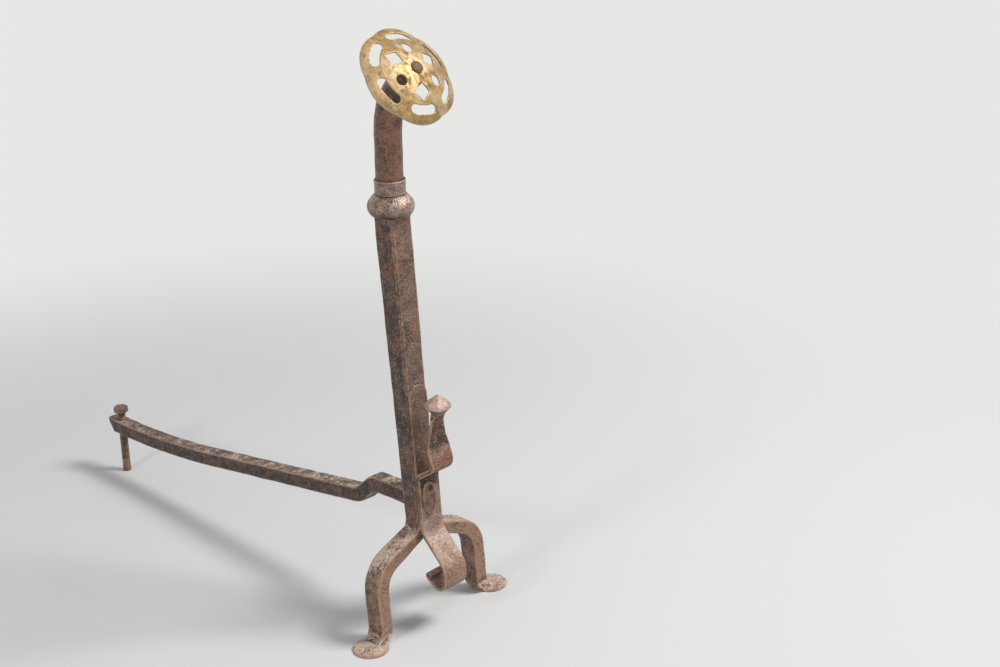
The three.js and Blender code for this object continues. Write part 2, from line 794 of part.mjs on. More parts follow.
// The shell's outside and inside, as [radius, depth behind the crown]
function shellProfile() {
  const outside = [0.2, 0.38, 0.54, 0.68, 0.8].map((share) => {
    const radius = share * DISC_RADIUS;
    return [radius, domeSagAt(radius)];
  });
  const shoulder = [
    [0.88 * DISC_RADIUS, 0.755 * DISC_DEPTH],
    [0.94 * DISC_RADIUS, 0.845 * DISC_DEPTH],
    [0.985 * DISC_RADIUS, 0.93 * DISC_DEPTH],
    [DISC_RADIUS, DISC_DEPTH],
    [0.985 * DISC_RADIUS, DISC_DEPTH + DISC_RETURN_DEPTH],
  ];
  const rim = [
    [0.985 * DISC_RADIUS - DISC_WALL, DISC_DEPTH + DISC_RETURN_DEPTH],
    [DISC_RADIUS - DISC_WALL, DISC_DEPTH],
    [0.985 * DISC_RADIUS - DISC_WALL, 0.93 * DISC_DEPTH + 0.5 * DISC_WALL],
    [0.94 * DISC_RADIUS - 0.8 * DISC_WALL, 0.845 * DISC_DEPTH + 0.7 * DISC_WALL],
    [0.88 * DISC_RADIUS - 0.4 * DISC_WALL, 0.755 * DISC_DEPTH + 0.9 * DISC_WALL],
  ];
  const inside = outside.map(([radius, depth]) => [radius, depth + DISC_WALL]).reverse();
  return [...outside, ...shoulder, ...rim, ...inside];
}

// The rim bulges over each slot and has a notch half way between two slots.
const firstNotch = radians(PIERCING_CLOCK) + Math.PI / LOBES;

function lobedRadius(radius, angle) {
  const fromRim = THREE.MathUtils.smoothstep(radius / DISC_RADIUS, 0.6, 1);
  const lobe = Math.abs(Math.sin((LOBES / 2) * (angle - firstNotch)));
  return radius + fromRim * LOBE_DEPTH * (lobe - 1);
}

function discShell() {
  const profile = shellProfile();
  const positions = [0, 0, 0, 0, 0, -DISC_WALL];
  for (let side = 0; side < DISC_SIDES; side += 1) {
    const angle = firstNotch + (2 * Math.PI * side) / DISC_SIDES;
    for (const [radius, depth] of profile) {
      const reach = lobedRadius(radius, angle);
      positions.push(reach * Math.cos(angle), reach * Math.sin(angle), -depth);
    }
  }
  const index = [];
  const rows = profile.length;
  for (let side = 0; side < DISC_SIDES; side += 1) {
    const here = 2 + side * rows;
    const next = 2 + ((side + 1) % DISC_SIDES) * rows;
    index.push(0, here, next);
    for (let row = 0; row + 1 < rows; row += 1) {
      index.push(here + row, here + row + 1, next + row + 1);
      index.push(here + row, next + row + 1, next + row);
    }
    index.push(1, next + rows - 1, here + rows - 1);
  }
  return facingOut(solidGeometry(positions, index));
}

function punch(shape) {
  const depth = 3 * DISC_DEPTH;
  const cutter = new THREE.ExtrudeGeometry(shape, {
    depth,
    bevelEnabled: false,
    curveSegments: 8,
  });
  cutter.translate(0, 0, -depth / 2);
  return cutter;
}

function roundPunch(angle) {
  const shape = new THREE.Shape();
  const x = HOLE_CIRCLE * Math.cos(angle);
  const y = HOLE_CIRCLE * Math.sin(angle);
  shape.absarc(x, y, HOLE_RADIUS, 0, 2 * Math.PI);
  return punch(shape);
}

function diamondPunch(angle) {
  const shape = new THREE.Shape();
  shape.moveTo(DIAMOND_TALL, 0);
  shape.lineTo(0, DIAMOND_WIDE);
  shape.lineTo(-DIAMOND_TALL, 0);
  shape.lineTo(0, -DIAMOND_WIDE);
  shape.closePath();
  const cutter = punch(shape);
  cutter.translate(HOLE_CIRCLE, 0, 0);
  cutter.rotateZ(angle);
  return cutter;
}

function slotPunch(angle) {
  const half = radians(SLOT_SPAN / 2);
  const radius = SLOT_WIDTH / 2;
  const shape = new THREE.Shape();
  shape.absarc(0, 0, SLOT_CIRCLE + radius, -half, half, false);
  shape.absarc(
    SLOT_CIRCLE * Math.cos(half),
    SLOT_CIRCLE * Math.sin(half),
    radius,
    half,
    half + Math.PI,
    false,
  );
  shape.absarc(0, 0, SLOT_CIRCLE - radius, half, -half, true);
  shape.absarc(
    SLOT_CIRCLE * Math.cos(half),
    -SLOT_CIRCLE * Math.sin(half),
    radius,
    Math.PI - half,
    2 * Math.PI - half,
    false,
  );
  const cutter = punch(shape);
  cutter.rotateZ(angle);
  return cutter;
}

function rivetHolePunch() {
  const shape = new THREE.Shape();
  shape.absarc(0, 0, RIVET_SHANK_RADIUS + SEAT_GAP, 0, 2 * Math.PI);
  return punch(shape);
}

function makeDisc() {
  const cutters = [rivetHolePunch()];
  for (let place = 0; place < LOBES; place += 1) {
    const angle = radians(PIERCING_CLOCK) + (2 * Math.PI * place) / LOBES;
    cutters.push(slotPunch(angle));
    cutters.push(place % 2 === 0 ? roundPunch(angle) : diamondPunch(angle));
  }
  return cut(discShell(), cutters);
}

addPiece(head, 'brass_disc', makeDisc(), agedBrass);

function makeRivet() {
  const under = -domeSagAt(RIVET_HEAD_RADIUS) + domeSagAt(RIVET_SHANK_RADIUS) + SEAT_GAP;
  const profile = [
    [0, -RIVET_DEPTH],
    [RIVET_SHANK_RADIUS, -RIVET_DEPTH],
    [RIVET_SHANK_RADIUS, SEAT_GAP],
    [RIVET_HEAD_RADIUS, under],
    [RIVET_HEAD_RADIUS, 0.35 * RIVET_HEAD_HEIGHT],
    [0.8 * RIVET_HEAD_RADIUS, 0.8 * RIVET_HEAD_HEIGHT],
    [0.4 * RIVET_HEAD_RADIUS, RIVET_HEAD_HEIGHT],
    [0, RIVET_HEAD_HEIGHT],
  ];
  const geometry = new THREE.LatheGeometry(
    profile.map(([radius, height]) => new THREE.Vector2(radius, height)),
    ROUND_SIDES,
  );
  geometry.rotateX(Math.PI / 2);
  return facingOut(geometry);
}

addPiece(head, 'disc_rivet', makeRivet(), rivetIron);

// ---------------------------------------------------------------- levelling bolt

function makeBolt() {
  const underHead = barTopAtBolt + BOLT_HEAD_CLEAR;
  const headRadius = BOLT_HEAD_ACROSS_FLATS / Math.sqrt(3);
  const shank = new THREE.LatheGeometry(
    [
      new THREE.Vector2(0, 0),
      new THREE.Vector2(BOLT_SHANK_RADIUS - BOLT_POINT, 0),
      new THREE.Vector2(BOLT_SHANK_RADIUS, BOLT_POINT),
      new THREE.Vector2(BOLT_SHANK_RADIUS, underHead + BOLT_HEAD_HEIGHT / 2),
      new THREE.Vector2(0, underHead + BOLT_HEAD_HEIGHT / 2),
    ],
    ROUND_SIDES,
  );
  shank.rotateX(Math.PI / 2);
  const hexagon = loft([
    [0, 1],
    [0.84, 1],
    [1, 0.88],
  ].map(([up, share]) => ({
    origin: new THREE.Vector3(0, 0, underHead + up * BOLT_HEAD_HEIGHT),
    across: acrossHearth,
    through: new THREE.Vector3(0, 1, 0),
    section: roundSection(share * headRadius, 6),
  })));
  return join([facingOut(shank), hexagon]);
}

const bolt = addPiece(andiron, 'levelling_bolt', makeBolt(), boltSteel);
bolt.position.set(0, boltAt, 0);

// ---------------------------------------------------------------- origin

// The origin is the middle of the whole andiron's box, on the floor.
andiron.updateMatrixWorld(true);
const bounds = new THREE.Box3().setFromObject(andiron);
const middle = bounds.getCenter(new THREE.Vector3());
andiron.position.set(-middle.x, -middle.y, -bounds.min.z);
andiron.updateMatrixWorld(true);

export default andiron;
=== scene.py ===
# %% [markdown]
# # A forged andiron with a pierced brass disc
# The solids of the andiron come from its CAD model, in metres, and stay where they are. Here each
# piece gets the look of a thing made at the anvil: rounded edges, hammer marks, pits, a thin film
# of rust, and aged brass on the disc. We start by loading the model and noting its size.

# %% Load the model
import math

import bpy
from mathutils import Matrix, Vector


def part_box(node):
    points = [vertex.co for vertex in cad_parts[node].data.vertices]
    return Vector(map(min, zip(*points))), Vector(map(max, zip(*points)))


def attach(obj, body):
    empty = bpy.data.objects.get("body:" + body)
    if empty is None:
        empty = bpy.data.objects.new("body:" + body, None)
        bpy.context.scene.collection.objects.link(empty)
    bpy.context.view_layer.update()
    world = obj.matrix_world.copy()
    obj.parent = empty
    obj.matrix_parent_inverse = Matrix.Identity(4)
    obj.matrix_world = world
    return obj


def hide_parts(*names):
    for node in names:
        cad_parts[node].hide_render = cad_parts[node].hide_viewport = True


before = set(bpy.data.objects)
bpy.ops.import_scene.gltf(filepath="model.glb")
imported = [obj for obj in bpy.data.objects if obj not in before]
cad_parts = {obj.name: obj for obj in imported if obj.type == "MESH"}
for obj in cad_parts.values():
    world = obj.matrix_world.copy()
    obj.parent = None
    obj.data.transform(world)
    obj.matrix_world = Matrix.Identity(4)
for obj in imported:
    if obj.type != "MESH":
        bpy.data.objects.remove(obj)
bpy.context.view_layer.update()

# %% [markdown]
# ## Helpers for working on one piece at a time
# An operator acts on everything that is selected, so each step starts with nothing selected and
# then takes up one piece. A finished piece keeps its object at the origin.

# %% Taking up a piece
def nothing_selected():
    if bpy.context.object and bpy.context.object.mode != "OBJECT":
        bpy.ops.object.mode_set(mode="OBJECT")
    bpy.ops.object.select_all(action="DESELECT")


def take_up(piece):
    nothing_selected()
    piece.select_set(True)
    bpy.context.view_layer.objects.active = piece
    return piece


def apply_modifiers(piece):
    take_up(piece)
    for modifier in list(piece.modifiers):
        bpy.ops.object.modifier_apply(modifier=modifier.name)


def settle(piece):
    """Puts the piece's place and size into its mesh."""
    take_up(piece)
    bpy.ops.object.transform_apply(location=True, rotation=True, scale=True)


def pick_edges(piece, wanted):
    """Goes into edit mode with just the edges selected whose two ends are wanted together."""
    take_up(piece)
    bpy.ops.object.mode_set(mode="EDIT")
    bpy.context.tool_settings.mesh_select_mode = (False, True, False)
    bpy.ops.mesh.select_all(action="DESELECT")
    bpy.ops.object.mode_set(mode="OBJECT")
    for edge in piece.data.edges:
        edge.select = wanted(*[piece.data.vertices[end].co for end in edge.vertices])
    bpy.ops.object.mode_set(mode="EDIT")


def say(piece):
    size = [round(1000 * length, 1) for length in piece.dimensions]
    print(f"{piece.name}: {size} mm, {len(piece.data.polygons)} faces")


# %% [markdown]
# ## Bars as they come from the fire
# A forged bar has no sharp edge and no true plane. A copy of the solid is merged, cut up finely
# with a voxel remesh, and smoothed a little, which rounds every edge by about a millimetre. Then
# gentle displacements work the skin in and out by tenths of a millimetre: slow waves, hammer
# dents and fine scale. Last, whatever stands proud of the solid's own box is tapped back flat.

# %% A blank from the solids
def merged_copy(node):
    part = bpy.data.objects.new(node + " copy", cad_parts[node].data.copy())
    bpy.context.scene.collection.objects.link(part)
    part.data.materials.clear()
    take_up(part)
    bpy.ops.object.mode_set(mode="EDIT")
    bpy.ops.mesh.select_all(action="SELECT")
    bpy.ops.mesh.remove_doubles(threshold=1e-6)
    bpy.ops.object.mode_set(mode="OBJECT")
    return part


def weld(body, *others):
    for other in others:
        union = body.modifiers.new("weld", "BOOLEAN")
        union.operation = "UNION"
        union.solver = "EXACT"
        union.object = other
        apply_modifiers(body)
        bpy.data.objects.remove(other)
    return body


def blank(name, *nodes, extras=()):
    body = weld(*[merged_copy(node) for node in nodes], *extras)
    body.name = name
    body.data.name = name
    return body


def reach(nodes):
    """The lowest and highest corners of some solids together."""
    boxes = [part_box(node) for node in nodes]
    low = [min(box[0][axis] for box in boxes) for axis in range(3)]
    high = [max(box[1][axis] for box in boxes) for axis in range(3)]
    return low, high


# %% Hammer and scale
def noise_texture(name, kind, size):
    texture = bpy.data.textures.new(name, kind)
    texture.noise_scale = size
    if kind == "CLOUDS":
        texture.noise_depth = 3
    return texture


hammer_blows = noise_texture("hammer blows", "VORONOI", 0.02)
slow_waves = noise_texture("slow waves", "CLOUDS", 0.03)
fire_scale = noise_texture("fire scale", "CLOUDS", 0.004)
torn_edges = noise_texture("torn edges", "CLOUDS", 0.006)


def work(piece, texture, depth, still=0.6, where=""):
    """Moves the skin: out where the texture is above still, and in where it is below."""
    dent = piece.modifiers.new("work", "DISPLACE")
    dent.texture = texture
    dent.texture_coords = "LOCAL"
    dent.strength = depth
    dent.mid_level = still
    dent.vertex_group = where


def mark(piece, name, weigh):
    """A vertex group whose weights come from a corner's place and normal."""
    group = piece.vertex_groups.new(name=name)
    for corner in piece.data.vertices:
        weight = weigh(corner.co, corner.normal)
        if weight > 0:
            group.add([corner.index], min(weight, 1.0), "REPLACE")


def tap_flat(piece, low, high):
    for corner in piece.data.vertices:
        for axis in range(3):
            corner.co[axis] = min(max(corner.co[axis], low[axis]), high[axis])


def forge(piece, nodes, grain=0.001, soften=2, waves=0.0006, dents=0.0006, scale=0.0003,
          within=None):
    remesh = piece.modifiers.new("remesh", "REMESH")
    remesh.mode = "VOXEL"
    remesh.voxel_size = grain
    smooth = piece.modifiers.new("soften", "SMOOTH")
    smooth.factor = 0.5
    smooth.iterations = soften
    work(piece, slow_waves, waves)
    work(piece, hammer_blows, dents)
    work(piece, fire_scale, scale)
    apply_modifiers(piece)
    tap_flat(piece, *reach(within or nodes))
    take_up(piece)
    bpy.ops.object.shade_smooth()
    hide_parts(*nodes)
    say(piece)
    return piece


# %% [markdown]
# ## Post and legs
# On the real andiron the legs are the foot of the post, split in two and spread. The three solids
# are welded into one blank here, so the iron runs through without a seam. The strap's tongue was
# hammered into the post's front while both were hot, and its round end still stands a little
# proud: a plate with two rounded corners, laid along the post's front face.

# %% Where the post's front face lies
def post_front(height):
    """The post's front skin in the middle plane, found by looking at it from in front."""
    post_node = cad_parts["upright_post"]
    found, spot, _, _ = post_node.ray_cast(Vector((0.003, -1, height)), Vector((0, 1, 0)))
    return spot.y if found else None


TONGUE_TOP = 0.238
TONGUE_FOOT = 0.150
TONGUE_HALF_WIDTH = 0.0119
TONGUE_PROUD = 0.0010
TONGUE_DEPTH = 0.004
TONGUE_ROUNDING = 0.95
SAME = 1e-6
tongue_slope = (post_front(TONGUE_TOP) - post_front(TONGUE_FOOT)) / (TONGUE_TOP - TONGUE_FOOT)
tongue_middle = (TONGUE_TOP + TONGUE_FOOT) / 2
print("post front at the tongue:", post_front(TONGUE_FOOT), post_front(TONGUE_TOP))

# %% Tongue on the post's front
nothing_selected()
bpy.ops.mesh.primitive_cube_add(
    size=1,
    location=(0, post_front(tongue_middle) - TONGUE_PROUD + TONGUE_DEPTH / 2, tongue_middle),
    rotation=(-math.atan(tongue_slope), 0, 0),
    scale=(2 * TONGUE_HALF_WIDTH, TONGUE_DEPTH, TONGUE_TOP - TONGUE_FOOT),
)
tongue = bpy.context.object
settle(tongue)


def at_a_top_corner(one, other):
    """Wants the two edges that run from front to back at the plate's top corners."""
    return min(one.z, other.z) > tongue_middle and abs(one.x - other.x) < SAME


pick_edges(tongue, at_a_top_corner)
bpy.ops.mesh.bevel(offset=TONGUE_ROUNDING * TONGUE_HALF_WIDTH, segments=8)
bpy.ops.object.mode_set(mode="OBJECT")
say(tongue)

# %% Post and legs
post_nodes = ["upright_post", "right_leg", "left_leg"]
post = forge(blank("post_and_legs", *post_nodes, extras=[tongue]), post_nodes)

# %% [markdown]
# ## Ragged feet
# A penny foot is hammered out thin on the anvil's face, and its rim tears and thickens a little as
# it spreads. Here only the rim is moved, by a coarser cloud than the scale on the skin, so that
# the outline is uneven and the sole stays flat on the floor.

# %% Ragged feet
SOLE_HEIGHT = 0.009
RIM_RAGGED = 0.0022
RIM_STILL = 0.75


def at_the_rim(place, normal):
    """Full on the thin rim of a foot, weak on its top, nothing on the sole itself."""
    if place.z > SOLE_HEIGHT or normal.z < -0.5:
        return 0
    return 1 - 0.7 * max(normal.z, 0)


mark(post, "rim", at_the_rim)
work(post, torn_edges, RIM_RAGGED, still=RIM_STILL, where="rim")
apply_modifiers(post)
tap_flat(post, *reach(post_nodes))
say(post)

# %% [markdown]
# ## The tenon's hammered head
# The bar's tenon comes through post and strap and is hammered over in front. The blows drove its
# head up and to the left of the slot, so here the slot is filled, the straight end is cut off
# flush and a squashed oval lump laps over the strap: a cylinder drawn out tall, rounded in front,
# with one punch dent.

# %% Where the strap's front face lies
def strap_front(height):
    """The strap's front skin beside the slot, found by looking at it from in front."""
    found, spot, _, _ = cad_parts["front_strap"].ray_cast(
        Vector((0.0125, -1, height)), Vector((0, 1, 0)))
    return spot.y if found else None


STRAP_THICK = 0.0056
SLOT_MIDDLE = 0.1225
SLOT_FILL = (0.016, 0.94 * STRAP_THICK, 0.036)
TENON_BACK = 0.0012
HEAD_LOW, HEAD_HIGH = 0.1118, 0.1458
HEAD_LEFT, HEAD_RIGHT = -0.0116, 0.0062
HEAD_PROUD = 0.0024
HEAD_DEPTH = 0.0052
HEAD_ROUNDING = 0.0017
PUNCH_PLACE = Vector((-0.0004, 0, 0.1384))
PUNCH_SIZE = (0.0030, 0.0015, 0.0043)
PUNCH_TURN = math.radians(25)
head_middle = Vector(((HEAD_LEFT + HEAD_RIGHT) / 2, 0, (HEAD_LOW + HEAD_HIGH) / 2))
strap_slope = (strap_front(0.140) - strap_front(0.110)) / 0.030
lean = math.atan(strap_slope)
head_middle.y = strap_front(head_middle.z) - HEAD_PROUD + HEAD_DEPTH / 2
print("strap front leans", round(math.degrees(lean), 2), "degrees; head at", head_middle)

# %% Slot filled and tenon cut flush
nothing_selected()
bpy.ops.mesh.primitive_cube_add(
    size=1,
    location=(0, strap_front(SLOT_MIDDLE) + STRAP_THICK / 2, SLOT_MIDDLE),
    rotation=(-lean, 0, 0),
    scale=SLOT_FILL,
)
slot_plug = bpy.context.object
settle(slot_plug)
bar_blank = merged_copy("billet_bar")
bpy.ops.object.mode_set(mode="EDIT")
bpy.ops.mesh.select_all(action="SELECT")
bpy.ops.mesh.bisect(
    plane_co=(0, strap_front(SLOT_MIDDLE) + TENON_BACK, SLOT_MIDDLE),
    plane_no=(0, -math.cos(lean), math.sin(lean)),
    use_fill=True, clear_outer=True,
)
bpy.ops.object.mode_set(mode="OBJECT")
say(bar_blank)

# %% Hammered head of the tenon
nothing_selected()
bpy.ops.mesh.primitive_cylinder_add(
    vertices=28, radius=1, depth=HEAD_DEPTH, location=head_middle,
    rotation=(math.pi / 2 - lean, 0, 0),
    scale=((HEAD_RIGHT - HEAD_LEFT) / 2, (HEAD_HIGH - HEAD_LOW) / 2, 1),
)
tenon_head = bpy.context.object
settle(tenon_head)


def in_front(place):
    return place.y - strap_slope * (place.z - head_middle.z) < head_middle.y


pick_edges(tenon_head, lambda one, other: in_front(one) and in_front(other))
bpy.ops.mesh.bevel(offset=HEAD_ROUNDING, segments=3)
bpy.ops.object.mode_set(mode="OBJECT")
say(tenon_head)

# %% Punch dent
nothing_selected()
bpy.ops.mesh.primitive_uv_sphere_add(
    segments=20, ring_count=12, radius=1,
    location=(PUNCH_PLACE.x, strap_front(PUNCH_PLACE.z) - HEAD_PROUD, PUNCH_PLACE.z),
    rotation=(0, PUNCH_TURN, 0), scale=PUNCH_SIZE,
)
punch = bpy.context.object
settle(punch)
blow = tenon_head.modifiers.new("punch", "BOOLEAN")
blow.operation = "DIFFERENCE"
blow.solver = "EXACT"
blow.object = punch
apply_modifiers(tenon_head)
bpy.data.objects.remove(punch)
say(tenon_head)
weld(bar_blank, tenon_head)
bar_blank.name = bar_blank.data.name = "log_bar"
say(bar_blank)

# %% [markdown]
# ## The hook's stem, turned a little
# Between its foot and the knob the real stem is twisted: its front looks a little to the left, its
# left edge is hammered thinner and wider, and it stands a few millimetres nearer to the post. The
# corners of the strap's copy are moved there before it is forged, by a share that grows and fades
# smoothly along the stem, so no step shows at either end.

# %% Hook's stem turned to the left
STEM_RISE = (0.166, 0.184)
STEM_FALL = (0.221, 0.203)
LEFT_BACK, LEFT_OUT = 0.0044, 0.0027
RIGHT_BACK = 0.0020
THICKER_RIGHT, THICKER_LEFT = 0.0022, 0.0020
STEM_REAR = -0.25
STEM_MIDDLE = -0.2602
STEM_BLEND = 0.004


def share_between(value, start, full):
    """0 at start, 1 at full, and a smooth step between them."""
    share = max(0, min((value - start) / (full - start), 1))
    return share * share * (3 - 2 * share)


strap_blank = blank("hook_and_scroll", "front_strap", extras=[slot_plug])
turned = 0
for corner in strap_blank.data.vertices:
    share = share_between(corner.co.z, *STEM_RISE) * share_between(corner.co.z, *STEM_FALL)
    if share == 0 or corner.co.y > STEM_REAR:
        continue
    behind = corner.co.y > STEM_MIDDLE
    left = share_between(corner.co.x, STEM_BLEND, -STEM_BLEND)
    back = (THICKER_LEFT if behind else LEFT_BACK) * left
    back += (THICKER_RIGHT if behind else RIGHT_BACK) * (1 - left)
    corner.co += share * Vector((-LEFT_OUT * left, back, 0))
    turned += 1
print("stem corners moved:", turned)

# %% [markdown]
# ## Hook and scroll, log bar and knob
# The same forging as on the post, with a finer grain for the thin strap and less hammering on the
# knob, which was filed to shape.

# %% Strap, bar and knob
strap = forge(strap_blank, ["front_strap"], grain=0.0008, dents=0.0004, waves=0.0004)
bar = forge(bar_blank, ["billet_bar"], grain=0.0009, within=["billet_bar", "front_strap"])
knob = forge(blank("knob", "hook_knob"), ["hook_knob"], grain=0.0007, dents=0.0003, waves=0.0003)

# %% [markdown]
# ## Ring, sleeve and neck
# The ring was shaped in a swage and the sleeve wrapped round the neck, so they are smoother than
# the bars. The neck was drawn round by hand, and is softened just once, which keeps some of the
# flats that the hammer left on it.

# %% Ring, sleeve and neck
ring = forge(blank("ring", "collar_ring"), ["collar_ring"], grain=0.0008, dents=0.0003,
             waves=0.0004)
sleeve = forge(blank("sleeve", "neck_sleeve"), ["neck_sleeve"], grain=0.0006, dents=0.0002,
               waves=0.0002)
neck = forge(blank("neck", "curved_neck"), ["curved_neck"], grain=0.0009, soften=1, dents=0.0006,
             waves=0.0006)

# %% [markdown]
# ## Brass disc and its rivet
# The disc is thin sheet, so its grain is fine enough for four cells through the wall, and it is
# softened just once, which rounds the edges of the piercings as a file would. Only slow waves and
# a few shallow dents touch it, or the thin bridges between the holes would wear away.

# %% Disc and rivet
disc = forge(blank("disc", "brass_disc"), ["brass_disc"], grain=0.0005, soften=1, waves=0.0004,
             dents=0.0003, scale=0.0001)
rivet = forge(blank("rivet", "disc_rivet"), ["disc_rivet"], grain=0.0005, dents=0.0005,
              waves=0.0004)

# %% [markdown]
# ## Rounded shoulder of the disc
# The real disc was beaten over a former, so its face rolls over into the wall without a crease. A
# vertex group covers just that band, by distance from the disc's axis and by depth below its
# middle, and a smoothing modifier works on the group alone.

# %% Rounded shoulder of the disc
DISC_TILT = math.radians(38)
DISC_FACING = Vector((0, -math.cos(DISC_TILT), math.sin(DISC_TILT)))
crown = max((corner.co for corner in disc.data.vertices), key=DISC_FACING.dot).copy()
SHOULDER_RADIUS = (0.0395, 0.0445)
SHOULDER_DEPTH = (0.0125, 0.0155)
disc_axis = Vector((0, crown.y, crown.z))


def on_the_shoulder(place, normal):
    """Full on the turned-down shoulder, nothing on the face or on the free edge."""
    off = place - disc_axis
    depth = -off.dot(DISC_FACING)
    radius = (off + depth * DISC_FACING).length
    out = (radius - SHOULDER_RADIUS[0]) / (SHOULDER_RADIUS[1] - SHOULDER_RADIUS[0])
    back = (SHOULDER_DEPTH[1] - depth) / (SHOULDER_DEPTH[1] - SHOULDER_DEPTH[0])
    return max(0, min(out, 1)) * max(0, min(back, 1))


mark(disc, "shoulder", on_the_shoulder)
rounding = disc.modifiers.new("rounding", "SMOOTH")
rounding.factor = 0.5
rounding.iterations = 30
rounding.vertex_group = "shoulder"
apply_modifiers(disc)
say(disc)

# %% [markdown]
# ## Levelling bolt
# The rear foot is an ordinary hexagon bolt. The thread is one small tooth, drawn as two edges and
# spun up the shank, one turn for each pitch, and then trimmed at the tip and inside the head. The
# head is a hexagonal primitive with its upper edges bevelled.

# %% Bolt sizes
bolt_low, bolt_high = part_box("levelling_bolt")
bolt_axis = Vector(((bolt_low.x + bolt_high.x) / 2, (bolt_low.y + bolt_high.y) / 2, 0))
THREAD_PITCH = 0.0016
THREAD_DEPTH = 0.0008
SHANK_RADIUS = 0.0046
HEAD_HEIGHT = 0.0066
HEAD_BEVEL = 0.0011
HEAD_WEAR = 0.0004
head_foot = bolt_high.z - HEAD_HEIGHT
head_radius = (bolt_high.y - bolt_low.y) / 2
print("bolt axis", bolt_axis, "head from", head_foot)

# %% Threaded shank
nothing_selected()
tooth_width = THREAD_PITCH / 2 / math.cos(math.radians(30))
tooth_reach = THREAD_DEPTH / 1.5
bpy.ops.mesh.primitive_circle_add(vertices=3, radius=1, location=(SHANK_RADIUS - tooth_reach, 0, 0))
bolt = bpy.context.object
bolt.name = "bolt"
bolt.data.name = "bolt"
bolt.scale = (tooth_width, tooth_reach, 1)
bolt.rotation_euler = Matrix(((0, 1, 0), (0, 0, 1), (1, 0, 0))).to_euler()
settle(bolt)
root = min(corner.co.x for corner in bolt.data.vertices) + SAME
pick_edges(bolt, lambda one, other: max(one.x, other.x) < root)
bpy.ops.mesh.delete(type="EDGE")
bpy.ops.object.mode_set(mode="OBJECT")
spiral = bolt.modifiers.new("thread", "SCREW")
spiral.axis = "Z"
spiral.angle = 2 * math.pi
spiral.screw_offset = THREAD_PITCH
spiral.iterations = round(head_foot / THREAD_PITCH) + 3
spiral.steps = spiral.render_steps = 20
spiral.use_merge_vertices = True
spiral.merge_threshold = 1e-5
apply_modifiers(bolt)
bolt.location = bolt_axis - Vector((0, 0, THREAD_PITCH))
settle(bolt)
say(bolt)

# %% Trim the shank to length
bpy.ops.object.mode_set(mode="EDIT")
for height, keep_above in ((0.0, True), (head_foot + HEAD_HEIGHT / 2, False)):
    bpy.ops.mesh.select_all(action="SELECT")
    bpy.ops.mesh.bisect(
        plane_co=(0, 0, height), plane_no=(0, 0, 1), use_fill=True,
        clear_inner=keep_above, clear_outer=not keep_above,
    )
bpy.ops.mesh.select_all(action="SELECT")
bpy.ops.mesh.normals_make_consistent(inside=False)
bpy.ops.object.mode_set(mode="OBJECT")
say(bolt)

# %% Hexagon head
nothing_selected()
bpy.ops.mesh.primitive_cylinder_add(
    vertices=6, radius=head_radius, depth=HEAD_HEIGHT,
    location=bolt_axis + Vector((0, 0, head_foot + HEAD_HEIGHT / 2)),
)
head = bpy.context.object
settle(head)
head_top = head_foot + HEAD_HEIGHT - 10 * SAME
pick_edges(head, lambda one, other: min(one.z, other.z) > head_top)
bpy.ops.mesh.bevel(offset=HEAD_BEVEL, segments=3)
bpy.ops.object.mode_set(mode="OBJECT")
wear = head.modifiers.new("worn corners", "BEVEL")
wear.width = HEAD_WEAR
wear.segments = 2
wear.angle_limit = math.radians(35)
apply_modifiers(head)
head.select_set(True)
bolt.select_set(True)
bpy.context.view_layer.objects.active = bolt
bpy.ops.object.join()
take_up(bolt)
bpy.ops.object.shade_smooth_by_angle(angle=math.radians(30))
tap_flat(bolt, bolt_low, bolt_high)
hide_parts("levelling_bolt")
say(bolt)

# %% [markdown]
# ## Shader groups shared by the finishes
# Each effect that several materials use is built once as a node group: a blotch, pits, worn edges
# and hollows (also used as painted edge highlights and painted shade), dust with painted top light
# on faces that look up, the way a face looks, and a zone along one axis. A group gives out only
# masks and heights. The colours are chosen in each material.

# %% Making nodes
def srgb(red, green, blue):
    """A colour as read from a screen, made linear for a shader socket."""
    def linear(level):
        level = level / 255
        return level / 12.92 if level <= 0.04045 else ((level + 0.055) / 1.055) ** 2.4
    return (linear(red), linear(green), linear(blue), 1.0)


def put(tree, kind, settings=None, **sockets):
    """Adds a node, sets its settings, and fills or links its inputs by name."""
    node = tree.nodes.new(kind)
    for key, value in (settings or {}).items():
        setattr(node, key, value)
    for key, value in sockets.items():
        socket = node.inputs[int(key[1:])] if key[1:].isdigit() else node.inputs[key]
        if isinstance(value, bpy.types.NodeSocket):
            tree.links.new(value, socket)
        else:
            socket.default_value = value
    return node


def calc(tree, operation, *values, clamp=False):
    sockets = {f"_{number}": value for number, value in enumerate(values)}
    settings = {"operation": operation, "use_clamp": clamp}
    return put(tree, "ShaderNodeMath", settings, **sockets).outputs[0]


def ramp(tree, value, low, high):
    """0 below low, 1 above high, and a soft step between them."""
    node = put(tree, "ShaderNodeMapRange", {"interpolation_type": "SMOOTHSTEP"}, Value=value)
    node.inputs["From Min"].default_value = low
    node.inputs["From Max"].default_value = high
    return node.outputs[0]


def blend(tree, mask, under, over):
    node = put(tree, "ShaderNodeMix", {"data_type": "RGBA"}, _0=mask, _6=under, _7=over)
    return node.outputs[2]


def effect(name, inputs, outputs):
    """An empty shader group with the named sockets, ready for its nodes."""
    group = bpy.data.node_groups.new(name, "ShaderNodeTree")
    for socket, start in inputs.items():
        kind = "NodeSocketVector" if start is None else "NodeSocketFloat"
        made = group.interface.new_socket(name=socket, in_out="INPUT", socket_type=kind)
        if start is not None:
            made.default_value = start
    for socket in outputs:
        group.interface.new_socket(name=socket, in_out="OUTPUT", socket_type="NodeSocketFloat")
    inlet = group.nodes.new("NodeGroupInput")
    outlet = group.nodes.new("NodeGroupOutput")
    return group, inlet.outputs, outlet.inputs


